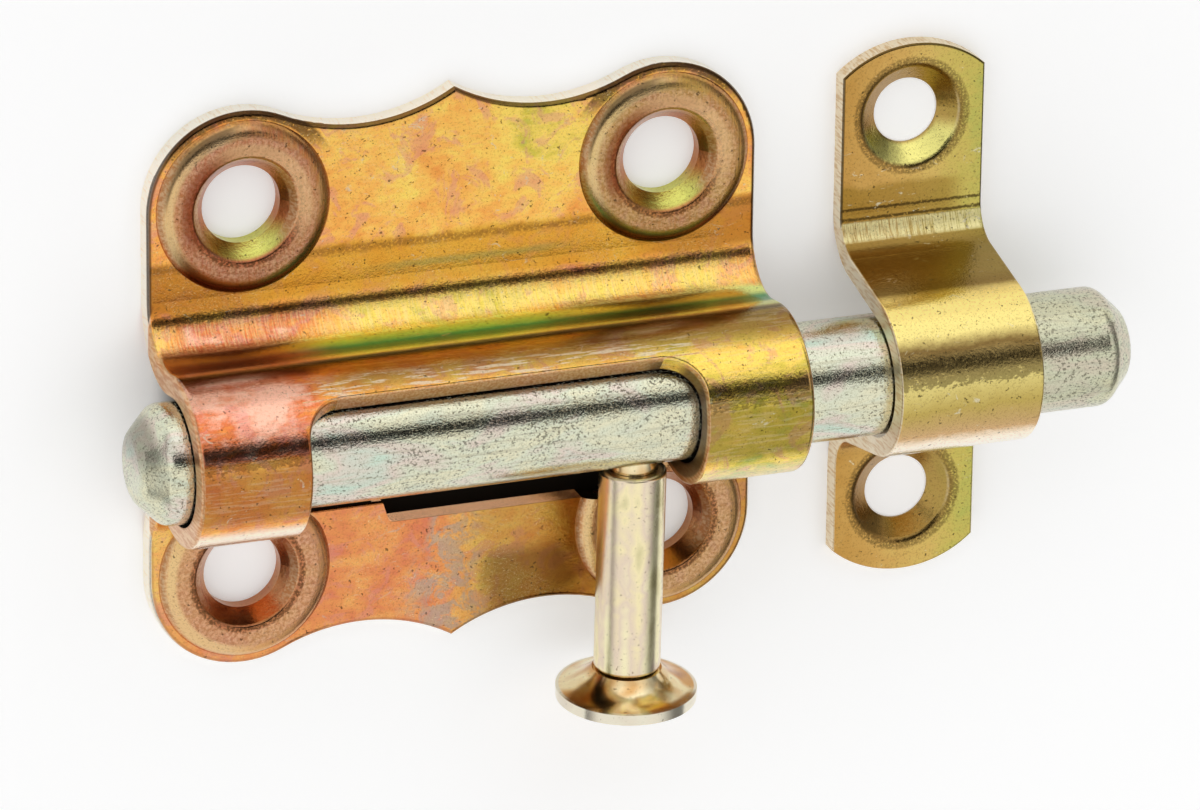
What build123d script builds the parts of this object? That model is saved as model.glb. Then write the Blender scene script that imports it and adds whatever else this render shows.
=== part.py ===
# Slide bolt for a small door: a pressed plate with an arched guide, a round
# bar with a knob pin riveted across it, and an arched keep.
# Frame: the origin is the middle of the four-hole pattern on the plate's back,
# +X runs along the bar towards its nose, +Y across it, +Z out of the door.
import os
from math import acos, atan2, cos, degrees, hypot, radians, sin, tan

from build123d import *

os.makedirs("parts", exist_ok=True)

# Sheet and bar
sheet = 1.8
bar_r = 5.0
bar_y = -2.3
bar_z = 9.2
bar_tail_x = -29.9
bar_nose_x = 55.8
bar_end_chamfer = 2.2
bar_end_round = 1.4
guide_clearance = 0.3
outline_round = 0.5
cut_round = 0.25
beyond = 30.0
through = 3 * sheet
touch = 0.01

# Plate outline
plate_half_x = 26.1
hole_x = 18.0
hole_y = 15.95
hole_r = 3.3
lobe_r = plate_half_x - hole_x
cusp_y = 24.1
waist_r = 15.45
plate_bend_r = 4.1
plate_flare = -10.0

# Raised screw seats of the plate
seat_outer_r = 7.35
seat_outer_slope = 1.35
seat_crest_r = seat_outer_r - seat_outer_slope
seat_rise = 0.9
seat_sink_r = 4.5
seat_sink_slope = 52.0
seat_sink_round = 0.5
seat_root_depth = 0.3
seat_root = sheet - seat_root_depth
seat_groove_width = 2.0
seat_groove_inset = 0.45
seat_groove_outer_r = seat_outer_r - seat_groove_inset
seat_groove_inner_r = seat_groove_outer_r - seat_groove_width
seat_groove_depth = 0.75

# Window in the plate's arch and the notch below it
window_half_x = 16.85
window_upper_angle = 52.5
window_corner_r = 3.5
window_foot_y = -11.2
notch_y = -13.2
notch_left_x = -5.5
notch_lean = 0.9
notch_right_x = 13.4
notch_corner_r = 0.5

# Keep
keep_sheet = 1.65
keep_clearance = 0.27
keep_x = 40.0
keep_width = 12.55
keep_hole_x = 39.85
keep_hole_y = 16.8
keep_hole_centre_y = 0.15
keep_hole_r = 2.8
keep_sink_r = 4.5
keep_sink_slope = 41.0
keep_sink_round = 1.2
keep_centre_y = -0.2
keep_corner_y = 21.0
keep_apex_y = 23.4
keep_bend_r = 3.0
keep_flare = 12.0

# Knob: rivet and loose sleeve
knob_x = 13.0
knob_tilt = 2.5
cross_hole_r = 2.0
stem_r = cross_hole_r
sleeve_r = 2.78
neck_length = 0.6
sleeve_start = bar_r + neck_length
sleeve_length = 18.0
sleeve_clearance = 0.08
sleeve_end_gap = 0.1
sleeve_edge = 0.35
head_neck_r = 2.9
head_rim_r = 5.86
head_flare_height = 1.7
head_rim_height = 0.9
head_flare_bulge = 0.35
peen_r = 2.7
peen_depth = 0.8
spot_r = 3.0
spot_depth = 0.25


def sheet_section(thick, arch_inner_r, flare, bend_r):
    """Section of the sheet arched over the bar, its front line, and how far out its bends end."""
    arch_outer_r = arch_inner_r + thick
    bend_z = thick + bend_r
    web_z = bar_z + arch_outer_r * sin(radians(flare))
    tangent_z = bend_z - bend_r * sin(radians(flare))
    bend_y = (
        arch_outer_r * cos(radians(flare))
        + (web_z - tangent_z) * tan(radians(flare))
        + bend_r * cos(radians(flare))
    )
    with BuildSketch() as section:
        with BuildLine():
            for lift in (0, thick):
                bend = CenterArc((bend_y, bend_z), bend_r + thick - lift, 180 + flare, 90 - flare)
                arch = CenterArc((0, bar_z), arch_inner_r + lift, flare, 90 - flare)
                web = Line(arch @ 0, bend @ 0)
                flange = Line(bend @ 1, (beyond, lift))
            Line((beyond, 0), (beyond, thick))
            Line((0, bar_z + arch_inner_r), (0, bar_z + arch_outer_r))
        make_face()
        mirror(about=Plane.YZ)
    front_line = Curve([arch, web, bend, flange])
    return section.sketch, front_line, bend_y


def front_edges(edges, front_line):
    """The edges, of those given, that lie on the bent sheet's front."""
    found = []
    for edge in edges:
        middle = edge @ 0.5
        spot = Vertex(abs(middle.Y - bar_y), middle.Z, 0)
        if front_line.distance_to(spot) < touch:
            found.append(edge)
    return found


def outline_edges(part, front_line):
    """The front edges round a bent piece's outline and its arch's two ends."""
    across = [
        edge
        for edge in part.edges()
        if edge.geom_type != GeomType.LINE or abs((edge % 0.5).X) < 1 - touch
    ]
    return front_edges(across, front_line)


def section_plane(x):
    """Plane across the bar at x, with its origin below the bar's axis."""
    return Plane(origin=(x, bar_y, 0), x_dir=(0, 1, 0), z_dir=(1, 0, 0))


plate_section, plate_front, plate_bend_y = sheet_section(
    sheet, bar_r + guide_clearance, plate_flare, plate_bend_r
)
keep_section, keep_front, _ = sheet_section(
    keep_sheet, bar_r + keep_clearance, keep_flare, keep_bend_r
)

# Middle of the waist's arc: waist_r from the cusp and tangent to the lobe
cusp_to_lobe = hypot(hole_x, cusp_y - hole_y)
cusp_angle = atan2(hole_y - cusp_y, hole_x)
waist_centre_r = waist_r + lobe_r
waist_turn = acos(
    (waist_r**2 + cusp_to_lobe**2 - waist_centre_r**2) / (2 * waist_r * cusp_to_lobe)
)
waist_x = waist_r * cos(cusp_angle + waist_turn)
waist_y = cusp_y + waist_r * sin(cusp_angle + waist_turn)
lobe_join = degrees(atan2(waist_y - hole_y, waist_x - hole_x))
waist_start = degrees(atan2(cusp_y - waist_y, -waist_x))
waist_arc = lobe_join - 180 - waist_start

with BuildSketch() as plate_outline:
    with BuildLine():
        lobe = CenterArc((hole_x, hole_y), lobe_r, 0, lobe_join)
        CenterArc((waist_x, waist_y), waist_r, waist_start, waist_arc)
        Line((0, 0), (plate_half_x, 0))
        Line((plate_half_x, 0), lobe @ 0)
        Line((0, cusp_y), (0, 0))
    make_face()
    mirror(about=Plane.YZ)
    mirror(about=Plane.XZ)

seat_spots = [(sx * hole_x, sy * hole_y) for sx in (-1, 1) for sy in (-1, 1)]
seat_top = sheet + seat_rise
crest_arc_r = (seat_outer_slope**2 + seat_rise**2) / (2 * seat_rise)


def screw_sink(hole, sink, top, slope, rounding):
    """Half section of what is cut for a screw: its hole, and a slope with a rounded edge."""
    run = rounding * tan(radians(slope / 2))
    edge = (sink + run, top)
    slope_top = (sink - run * cos(radians(slope)), top - run * sin(radians(slope)))
    slope_foot = (hole, top - (sink - hole) * tan(radians(slope)))
    with BuildSketch() as profile:
        with BuildLine():
            RadiusArc(edge, slope_top, -rounding)
            Polyline(
                slope_top,
                slope_foot,
                (hole, -sheet),
                (0, -sheet),
                (0, through),
                (edge[0], through),
                edge,
            )
        make_face()
    return profile.sketch


with BuildPart() as seat_dome:
    with BuildSketch(Plane.XZ):
        with BuildLine():
            RadiusArc((seat_outer_r, sheet), (seat_crest_r, seat_top), -crest_arc_r)
            Polyline(
                (seat_crest_r, seat_top),
                (hole_r, seat_top),
                (hole_r, seat_root),
                (seat_outer_r, seat_root),
                (seat_outer_r, sheet),
            )
        make_face()
    revolve(axis=Axis.Z)

with BuildPart() as seat_hole:
    with BuildSketch(Plane.XZ):
        add(screw_sink(hole_r, seat_sink_r, seat_top, seat_sink_slope, seat_sink_round))
    revolve(axis=Axis.Z)

with BuildPart() as seat_groove:
    with BuildSketch(Plane.XZ):
        with BuildLine():
            groove_middle_r = (seat_groove_inner_r + seat_groove_outer_r) / 2
            ThreePointArc(
                (seat_groove_inner_r, 0),
                (groove_middle_r, seat_groove_depth),
                (seat_groove_outer_r, 0),
            )
            Line((seat_groove_outer_r, 0), (seat_groove_inner_r, 0))
        make_face()
    revolve(axis=Axis.Z)

# Grooves behind the seats, kept off the plate's two bends
with BuildPart() as seat_grooves:
    with Locations(*seat_spots):
        add(seat_groove.part)
    with Locations((0, bar_y, 0)):
        Box(2 * beyond, 2 * plate_bend_y, sheet, mode=Mode.SUBTRACT)

# Punch that opens the arch from the window's upper edge down to its foot
with BuildPart() as window_punch:
    with BuildSketch(section_plane(-window_half_x)):
        with BuildLine():
            upper_y = beyond * sin(radians(window_upper_angle))
            front_z = bar_z + beyond * cos(radians(window_upper_angle))
            foot = window_foot_y - bar_y
            Polyline(
                (0, bar_z),
                (upper_y, front_z),
                (foot, front_z),
                (foot, -sheet),
                (0, -sheet),
                close=True,
            )
        make_face()
    extrude(amount=2 * window_half_x)
    upper_ray = Axis((0, 0, 0), (0, upper_y, front_z - bar_z))
    fillet(window_punch.edges().filter_by(upper_ray), radius=window_corner_r)

# Notch in the lower flange, along the window's foot
with BuildSketch(Plane.XY.offset(-sheet)) as notch:
    with BuildLine():
        Polyline(
            (notch_left_x - notch_lean, window_foot_y + notch_corner_r),
            (notch_left_x, notch_y),
            (notch_right_x, notch_y),
            (notch_right_x, window_foot_y + notch_corner_r),
            close=True,
        )
    make_face()
    fillet(notch.vertices().group_by(Axis.Y)[0], notch_corner_r)

with BuildPart() as case:
    with BuildSketch(section_plane(-plate_half_x)):
        add(plate_section)
    extrude(amount=2 * plate_half_x)
    with BuildSketch(Plane.XY.offset(-sheet)):
        add(plate_outline.sketch)
    extrude(amount=beyond, mode=Mode.INTERSECT)
    fillet(outline_edges(case, plate_front), outline_round)
    add(window_punch.part, mode=Mode.SUBTRACT)
    fillet(front_edges(case.edges(Select.LAST), plate_front), cut_round)
    extrude(notch.sketch, amount=through, mode=Mode.SUBTRACT)
    with Locations(*seat_spots):
        add(seat_dome.part)
        add(seat_hole.part, mode=Mode.SUBTRACT)
    add(seat_grooves.part, mode=Mode.SUBTRACT)
    add(window_punch.part, mode=Mode.SUBTRACT)
    extrude(notch.sketch, amount=through, mode=Mode.SUBTRACT)

case.part.label = "case"
export_step(case.part, "parts/case.step")

with BuildPart() as keep_sink:
    with BuildSketch(Plane.XZ):
        add(screw_sink(keep_hole_r, keep_sink_r, keep_sheet, keep_sink_slope, keep_sink_round))
    revolve(axis=Axis.Z)

keep_spots = [(keep_hole_x, keep_hole_centre_y + sy * keep_hole_y) for sy in (-1, 1)]

with BuildSketch(Plane((keep_x, keep_centre_y, -sheet))) as keep_outline:
    with BuildLine():
        corner_x = keep_width / 2
        Line((corner_x, 0), (corner_x, keep_corner_y))
        ThreePointArc((corner_x, keep_corner_y), (0, keep_apex_y), (-corner_x, keep_corner_y))
        Polyline((-corner_x, keep_corner_y), (-corner_x, 0), (corner_x, 0))
    make_face()
    mirror(about=Plane.XZ)

with BuildPart() as keep:
    with BuildSketch(section_plane(keep_x - keep_width / 2)):
        add(keep_section)
    extrude(amount=keep_width)
    extrude(keep_outline.sketch, amount=beyond, mode=Mode.INTERSECT)
    fillet(outline_edges(keep, keep_front), cut_round)
    with Locations(*keep_spots):
        add(keep_sink.part, mode=Mode.SUBTRACT)

keep.part.label = "keep"
export_step(keep.part, "parts/keep.step")

# Plane across the knob pin on the bar's axis, its normal running out along the pin
knob_plane = Plane(
    origin=(knob_x, bar_y, bar_z),
    x_dir=(1, 0, 0),
    z_dir=(0, -cos(radians(knob_tilt)), -sin(radians(knob_tilt))),
)

# Plane through the knob pin and the bar's axis, with its second axis out along the pin
pin_section = Plane(origin=knob_plane.origin, x_dir=(1, 0, 0), z_dir=-knob_plane.y_dir)
pin_axis = Axis(knob_plane.origin, knob_plane.z_dir)
head_start = sleeve_start + sleeve_length + sleeve_end_gap
rim_start = head_start + head_flare_height
rim_end = rim_start + head_rim_height

with BuildPart() as stem_hole:
    with BuildSketch(pin_section):
        with BuildLine():
            Polyline(
                (0, -bar_r),
                (peen_r, -bar_r),
                (cross_hole_r, -bar_r + peen_depth),
                (cross_hole_r, 0),
                (0, 0),
                close=True,
            )
        make_face()
    revolve(axis=pin_axis)

with BuildPart() as bar_round:
    with BuildSketch(Plane.YZ.offset(bar_tail_x)):
        with Locations((bar_y, bar_z)):
            Circle(bar_r)
    extrude(amount=bar_nose_x - bar_tail_x)

with BuildPart() as bolt_bar:
    add(bar_round.part)
    chamfer(bolt_bar.edges().filter_by(GeomType.CIRCLE), bar_end_chamfer)
    fillet(bolt_bar.edges().filter_by(GeomType.CIRCLE), bar_end_round)
    add(stem_hole.part, mode=Mode.SUBTRACT)
    with BuildSketch(knob_plane):
        Circle(cross_hole_r)
    extrude(amount=2 * bar_r, mode=Mode.SUBTRACT)
    with BuildSketch(knob_plane.offset(bar_r - spot_depth)):
        Circle(spot_r)
    extrude(amount=bar_r, mode=Mode.SUBTRACT)

bolt_bar.part.label = "bolt_bar"
export_step(bolt_bar.part, "parts/bolt_bar.step")

with BuildPart() as knob_rivet:
    add(stem_hole.part)
    add(bar_round.part, mode=Mode.INTERSECT)
    with BuildSketch(pin_section):
        with BuildLine():
            SagittaArc((head_neck_r, head_start), (head_rim_r, rim_start), head_flare_bulge)
            Polyline(
                (head_rim_r, rim_start),
                (head_rim_r, rim_end),
                (0, rim_end),
                (0, 0),
                (stem_r, 0),
                (stem_r, head_start),
                (head_neck_r, head_start),
            )
        make_face()
    revolve(axis=pin_axis)

knob_rivet.part.label = "knob_rivet"
export_step(knob_rivet.part, "parts/knob_rivet.step")

with BuildPart() as knob_sleeve:
    with BuildSketch(knob_plane.offset(sleeve_start)):
        Circle(sleeve_r)
        Circle(stem_r + sleeve_clearance, mode=Mode.SUBTRACT)
    extrude(amount=sleeve_length)
    sleeve_rims = knob_sleeve.edges().filter_by(GeomType.CIRCLE).sort_by(SortBy.RADIUS)
    fillet(sleeve_rims[-2:], sleeve_edge)

knob_sleeve.part.label = "knob_sleeve"
export_step(knob_sleeve.part, "parts/knob_sleeve.step")
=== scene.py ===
"""Looks of a small slide bolt with its keep: yellow passivated zinc on sheet and round bar."""

import logging
import math
from collections.abc import Sequence
from dataclasses import dataclass, field
from enum import Enum

import bmesh
import bpy
from mathutils import Matrix, Vector

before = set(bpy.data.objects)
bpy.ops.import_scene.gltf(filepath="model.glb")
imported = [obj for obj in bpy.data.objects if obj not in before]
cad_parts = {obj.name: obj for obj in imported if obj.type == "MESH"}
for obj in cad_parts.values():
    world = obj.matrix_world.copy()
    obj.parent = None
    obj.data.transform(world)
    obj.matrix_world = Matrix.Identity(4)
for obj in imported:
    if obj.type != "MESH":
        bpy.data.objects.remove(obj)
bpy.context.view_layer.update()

log = logging.getLogger("slide_bolt")
logging.basicConfig(level=logging.INFO, format="%(name)s: %(message)s")

# The finishes are laid out in millimetres, and in degrees about the bar's axis, from the front
# towards +Y
MM = 0.001
DEGREES = 180 / math.pi
# the bar's axis and the knob pin's place along it
BAR_Y = -2.3
BAR_Z = 9.2
PIN_X = 13.0


def linear(code: str) -> tuple[float, float, float, float]:
    """Turns an sRGB hex value into linear colour, by the sRGB standard's curve.

    Args:
        code: six hex digits, with or without a leading hash.

    Returns:
        Linear red, green, blue and an alpha of one.
    """
    digits = code.lstrip("#")
    parts = [int(digits[i : i + 2], 16) / 255 for i in (0, 2, 4)]
    lin = [c / 12.92 if c <= 0.04045 else ((c + 0.055) / 1.055) ** 2.4 for c in parts]
    return (lin[0], lin[1], lin[2], 1.0)


@dataclass(frozen=True)
class Field:
    """A number or colour that varies over a surface, as a socket that plain arithmetic works on."""

    surface: "Surface"
    socket: bpy.types.NodeSocket

    def __add__(self, other: "Field | float") -> "Field":
        """Adds."""
        return self.surface.add("Math", {"operation": "ADD"}, i0=self, i1=other)

    def __sub__(self, other: "Field | float") -> "Field":
        """Subtracts."""
        return self.surface.add("Math", {"operation": "SUBTRACT"}, i0=self, i1=other)

    def __rsub__(self, other: float) -> "Field":
        """Subtracts from a number."""
        return self.surface.add("Math", {"operation": "SUBTRACT"}, i0=other, i1=self)

    def __mul__(self, other: "Field | float") -> "Field":
        """Multiplies."""
        return self.surface.add("Math", {"operation": "MULTIPLY"}, i0=self, i1=other)

    def __abs__(self) -> "Field":
        """Drops the sign."""
        return self.surface.add("Math", {"operation": "ABSOLUTE"}, i0=self, i1=0.0)

    def output(self, which: str | int) -> "Field":
        """Returns another output of the same node, by its name or number."""
        return Field(self.surface, self.socket.node.outputs[which])


@dataclass(frozen=True)
class Places:
    """Where a point of the object's surface is, in millimetres."""

    mm: Field
    x: Field
    y: Field
    z: Field


class Surface:
    """A node tree being filled, with the patterns that the finishes are laid from."""

    def __init__(self, tree: bpy.types.NodeTree) -> None:
        """Empties the tree.

        Args:
            tree: the node tree to fill.
        """
        self.tree = tree
        tree.nodes.clear()

    def add(
        self, kind: str, settings: dict | None = None, stops: Sequence | None = None, **inputs
    ) -> Field | None:
        """Adds a node, sets it and links what it reads.

        Args:
            kind: the node's type name, without "ShaderNode".
            settings: attributes of the node itself.
            stops: places in a ramp, and hex colours or levels at each.
            inputs: values, hex colours or fields by input name, with _ for a space, or i0, i1
                by number.

        Returns:
            The node's first output, or none for an output node.
        """
        node = self.tree.nodes.new("ShaderNode" + kind)
        for name, value in (settings or {}).items():
            setattr(node, name, value)
        if stops:
            points = node.color_ramp.elements
            while len(points) < len(stops):
                points.new(0.5)
            for point, (place, colour) in zip(points, stops):
                point.position = place
                point.color = linear(colour) if isinstance(colour, str) else (colour,) * 3 + (1.0,)
        for name, value in inputs.items():
            by_number = name[0] == "i" and name[1:].isdigit()
            socket = node.inputs[int(name[1:]) if by_number else name.replace("_", " ")]
            if isinstance(value, Field):
                self.tree.links.new(value.socket, socket)
            else:
                socket.default_value = linear(value) if isinstance(value, str) else value
        return Field(self, node.outputs[0]) if node.outputs else None

    def places(self) -> Places:
        """Finds where each point of the surface is.

        Returns:
            Its place.
        """
        here = self.add("TexCoord").output("Object")
        mm = self.add("VectorMath", {"operation": "SCALE"}, i0=here, Scale=1 / MM)
        x = self.add("SeparateXYZ", i0=mm)
        return Places(mm, x, x.output("Y"), x.output("Z"))

    def mottle(
        self,
        mm: Field,
        size: float,
        detail: float = 3.0,
        rough: float = 0.55,
        warp: float = 0.0,
        drawn: tuple[float, float, float] = (1.0, 1.0, 1.0),
    ) -> Field:
        """Lays irregular cloudy variation, which can be drawn out into streaks.

        Args:
            mm: the place it reads.
            size: a cloud's width in millimetres.
            detail: how many finer layers it has.
            rough: how strong the finer layers are.
            warp: how far it is pulled about.
            drawn: how fast it changes along x, y and z; a small number draws it out.

        Returns:
            Values about 0.5.
        """
        place = self.add("VectorMath", {"operation": "MULTIPLY"}, i0=mm, i1=drawn)
        sizes = {"Scale": 1 / size, "Detail": detail, "Roughness": rough, "Distortion": warp}
        return self.add("TexNoise", Vector=place, **sizes)

    def band(self, value: Field, low: float | None, high: float | None, soft: float) -> Field:
        """Marks where a value lies between two limits, or beyond one.

        Args:
            value: the value.
            low: where the mark begins, or none.
            high: where it ends, or none.
            soft: the width of its faded edges.

        Returns:
            One inside, nought outside.
        """
        mark = None
        for limit, start, end in ((low, 0.0, 1.0), (high, 1.0, 0.0)):
            if limit is None:
                continue
            ends = {"i1": limit - soft / 2, "i2": limit + soft / 2, "i3": start, "i4": end}
            edge = self.add("MapRange", {"interpolation_type": "SMOOTHSTEP"}, i0=value, **ends)
            mark = edge if mark is None else mark * edge
        return mark

    def profile(self, value: Field, points: list[tuple[float, float]]) -> Field:
        """Follows a line through given points.

        Args:
            value: what it runs along.
            points: rising places, and values from nought to one at each.

        Returns:
            The line's value.
        """
        first, last = points[0][0], points[-1][0]
        stops = [((place - first) / (last - first), level) for place, level in points]
        along = self.add("MapRange", i0=value, i1=first, i2=last, i3=0.0, i4=1.0)
        return self.add("ValToRGB", stops=stops, Fac=along)

    def over(
        self, base: Field | str, colour: Field | str, mark: Field, strength: float = 1.0
    ) -> Field:
        """Lays a colour over another where a mark is set.

        Args:
            base: the colour below.
            colour: the colour laid on it.
            mark: where it is laid, nought to one.
            strength: how much of it is laid there.

        Returns:
            The two together.
        """
        settings = {"data_type": "RGBA", "clamp_factor": True}
        # all outputs of this node have the same name, and the third is the colour
        return self.add("Mix", settings, i0=mark * strength, i6=base, i7=colour).output(2)

    def away(self, across: Field, upward: Field) -> Field:
        """Measures the distance from an axis.

        Args:
            across: how far off it a point is one way.
            upward: how far off it is at right angles to that.

        Returns:
            The distance.
        """
        return self.add("Math", {"operation": "SQRT"}, i0=across * across + upward * upward)

    def cut_faces(self, at: Places, sheet: float) -> Field:
        """Marks the sheet's sheared outline.

        Args:
            at: the surface's places.
            sheet: the sheet's thickness in millimetres.

        Returns:
            One on the faces square to the sheet, nought elsewhere.
        """
        normal = self.add("SeparateXYZ", i0=self.add("TexCoord").output("Normal"))
        ends = self.band(abs(normal), 0.6, None, 0.3)
        upright = self.band(abs(normal.output("Z")), None, 0.35, 0.2)
        sides = upright * self.band(at.z, None, sheet - 0.05, 0.1)
        return self.add("Math", {"operation": "MAXIMUM", "use_clamp": True}, i0=ends, i1=sides)

    def rolled_edge(self, at: Places, low: float, high: float) -> Field:
        """Marks the rounded edge between the sheet's front and its cut outline.

        Args:
            at: the surface's places.
            low: the height where it begins.
            high: the height where it ends.

        Returns:
            One on the edge, nought elsewhere.
        """
        normal = self.add("SeparateXYZ", i0=self.add("TexCoord").output("Normal"))
        slanting = self.band(normal.output("Z"), 0.35, 0.96, 0.1)
        return slanting * self.band(at.z, low, high, 0.1)

    def tilted(self, lift: Field) -> Field:
        """Tilts the surface's shading towards the front, as a face that is rounded over.

        Args:
            lift: how far, where nought leaves it as it is.

        Returns:
            The direction that the surface seems to face.
        """
        normal = self.add("TexCoord").output("Normal")
        forward = self.add("CombineXYZ", Z=lift)
        leant = self.add("VectorMath", {"operation": "ADD"}, i0=normal, i1=forward)
        settings = {"vector_type": "NORMAL", "convert_from": "OBJECT", "convert_to": "WORLD"}
        return self.add("VectorTransform", settings, i0=leant)

    def metal(
        self,
        colour: Field,
        rough: Field,
        height: Field,
        depth_mm: float,
        lift: Field | None = None,
    ) -> None:
        """Ends the tree in a metal.

        Args:
            colour: its colour.
            rough: its roughness.
            height: its fine relief, nought to one.
            depth_mm: how deep that relief is.
            lift: how far its shading is tilted to the front, or none.
        """
        normal = {} if lift is None else {"Normal": self.tilted(lift)}
        bump = self.add("Bump", Strength=1.0, Distance=depth_mm * MM, Height=height, **normal)
        sockets = {"Base_Color": colour, "Roughness": rough, "Normal": bump}
        shader = self.add("BsdfPrincipled", Metallic=1.0, **sockets)
        self.add("OutputMaterial", Surface=shader)


def start_material(name: str) -> tuple[bpy.types.Material, Surface]:
    """Makes a new material.

    Args:
        name: its name.

    Returns:
        The material, and its empty node tree to fill.
    """
    material = bpy.data.materials.new(name)
    material.use_nodes = True
    return material, Surface(material.node_tree)


# Chromate film on bright zinc, in the order that its colours follow each other: rose, red, orange,
# gold, yellow, olive, green
FILM = [
    (0.00, "#FCC0A6"),
    (0.14, "#E07B4C"),
    (0.28, "#F09A4C"),
    (0.45, "#FDBF5E"),
    (0.62, "#FFDC69"),
    (0.75, "#D9C64E"),
    (0.88, "#A0B95A"),
    (1.00, "#58A880"),
]

# How thick the plate's film is along each of its parts: places along the bar, and places in FILM
ON_FLANGE = [(-27, 0.3), (-14, 0.4), (-2, 0.46), (6, 0.56), (12, 0.44), (27, 0.48)]
ON_PALE_STRIP = [(-27, 0.7), (-23, 0.1), (-13, 0.22), (-8, 0.62), (12, 0.58), (27, 0.5)]
ON_BEND = [(-27, 0.18), (-17, 0.3), (-9, 0.7), (2, 0.72), (11, 0.5), (27, 0.5)]
ON_WALL = [(-27, 0.28), (-14, 0.5), (-4, 0.84), (6, 0.8), (14, 0.6), (27, 0.6)]
ON_ARCH = [(-27, 0.03), (-18, 0.05), (-14, 0.4), (0, 0.5), (16, 0.6), (27, 0.6)]
ON_BELLY = [(-27, 0.28), (-18, 0.34), (17, 0.68), (27, 0.72)]
ON_LOWER_FLANGE = [(-27, 0.6), (-21, 0.34), (-12, 0.3), (-2, 0.26), (2, 0.42), (27, 0.45)]

# The thick film in the plate's bend, from its foot up: yellow, green, olive
UP_BEND = [
    (0.0, "#F4E850"),
    (0.2, "#B4F096"),
    (0.38, "#209B78"),
    (0.64, "#28A070"),
    (0.85, "#CCF4A0"),
    (1.0, "#D8D070"),
]

# Painted shade on the arch's upper side, by the turn about the bar
ARCH_SHADE = [(0, 0.0), (50, 0.0), (58, 0.45), (68, 0.8), (77, 0.8), (84, 0.3), (120, 0.0)]

# The keep's film across its flats, from its tail side to its nose side
ACROSS_KEEP = [
    (0.0, "#BD8F48"),
    (0.35, "#CDA35A"),
    (0.6, "#D2B364"),
    (0.85, "#C6B65E"),
    (1.0, "#B6B45C"),
]

# The keep's film over its arch by the turn about the bar, and the turns that its ramp spans.
# Painted light
# is in it: a pale painted reflection at its lower edge, a dark one near 34 and painted shade near
# 91
ROUND_KEEP = [
    (-60, "#FFF6E6"),
    (-42, "#FBEBD2"),
    (-32, "#D3AC7A"),
    (-9, "#BFA75A"),
    (10, "#E0CE80"),
    (22, "#D8BC78"),
    (34, "#8A6E3E"),
    (44, "#F4E08C"),
    (68, "#FFE68A"),
    (80, "#EACC76"),
    (91, "#84662C"),
]
KEEP_TURNS = (-60.0, 100.0)


@dataclass(frozen=True)
class PressedSheet:
    """What the finishes of the two pressed pieces have in common, in millimetres."""

    name: str
    sheet: float
    hole_x: float
    hole_y: float
    cloud: float
    patch: float
    patch_drawn: tuple[float, float, float]
    grit: float
    relief: float = 0.04


class SheetCoat:
    """Film on pressed sheet, laid colour over colour, with the patterns that both pieces have."""

    def __init__(self, s: Surface, finish: PressedSheet) -> None:
        """Lays the patterns.

        Args:
            s: the surface.
            finish: the finish, which has the piece's sizes.
        """
        self.s = s
        self.finish = finish
        self.at = s.places()
        mm = self.at.mm
        self.colour: Field | None = None
        # the side above the bar, and the turn about it
        self.upper = s.band(self.at.y, BAR_Y, None, 1.0)
        upward, forward = self.at.y - BAR_Y, self.at.z - BAR_Z
        self.turn = s.add("Math", {"operation": "ARCTAN2"}, i0=upward, i1=forward) * DEGREES
        # broad clouds and small patches in the film, and its fine grit
        self.clouds = s.mottle(mm, finish.cloud, 3.0, 0.55, 0.8)
        self.small = s.mottle(mm, finish.patch, 3.0, 0.6, 0.4, finish.patch_drawn)
        self.grit = s.mottle(mm, finish.grit, 2.0, 0.7)
        # specks of 0.35 mm, drawn across the bar for die lines and a painted dark reflection, and
        # along it for the arch
        self.die_and_reflection_specks = s.mottle(mm, 0.35, 3.0, 0.7, 0.0, (1.0, 0.3, 0.3))
        self.speckle = s.mottle(mm, 0.35, 3.0, 0.7, 0.0, (0.6, 1.0, 1.0))
        # the press tool's striations across the bend, 0.16 mm apart
        self.lines = s.mottle(mm, 0.16, 2.0, 0.6, 0.0, (1.0, 0.08, 0.08))
        # the scoring of the cut faces, across the sheet
        self.scored = s.mottle(mm, 0.2, 3.0, 0.6, 0.0, (1.0, 1.0, 0.15))
        # pits of 0.15 to 0.4 mm, and the rolled sheet's grain
        self.pits = s.mottle(mm, 0.4, 2.0, 0.6)
        self.grain = s.mottle(mm, 0.2, 2.0, 0.6)

    def lay(self, colour: Field | str, mark: Field, strength: float = 1.0) -> None:
        """Lays a colour over what is there.

        Args:
            colour: the colour.
            mark: where it is laid, nought to one.
            strength: how much of it is laid there.
        """
        self.colour = self.s.over(self.colour, colour, mark, strength)

    def dark_reflection_line(self, low: float, high: float, gaps: float) -> Field:
        """Marks a ragged dark line along the arch's front, a painted reflection of the dark card.

        Args:
            low: the turn where it begins.
            high: the turn where it ends.
            gaps: how much of it is missing, in specks.

        Returns:
            One on the line, nought elsewhere.
        """
        s, at = self.s, self.at
        line = s.band(self.turn + (self.speckle - 0.5) * 22.0, low, high, 3.0)
        return line * s.band(at.z, 9.0, None, 1.0) * s.band(self.speckle, gaps, None, 0.2)

    def dotted(self, mark: Field, gaps: float, soft: float = 0.2) -> Field:
        """Breaks a mark up into grit, with more of it missing the larger gaps is."""
        return mark * self.s.band(self.grit, gaps, None, soft)

    def relief(self, drawn_zone: Field) -> Field:
        """Finds the sheet's fine relief.

        Args:
            drawn_zone: where the press tool's striations are.

        Returns:
            Its height.
        """
        return self.grain * 0.5 + self.pits * -0.3 + self.lines * drawn_zone * 0.5


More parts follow.
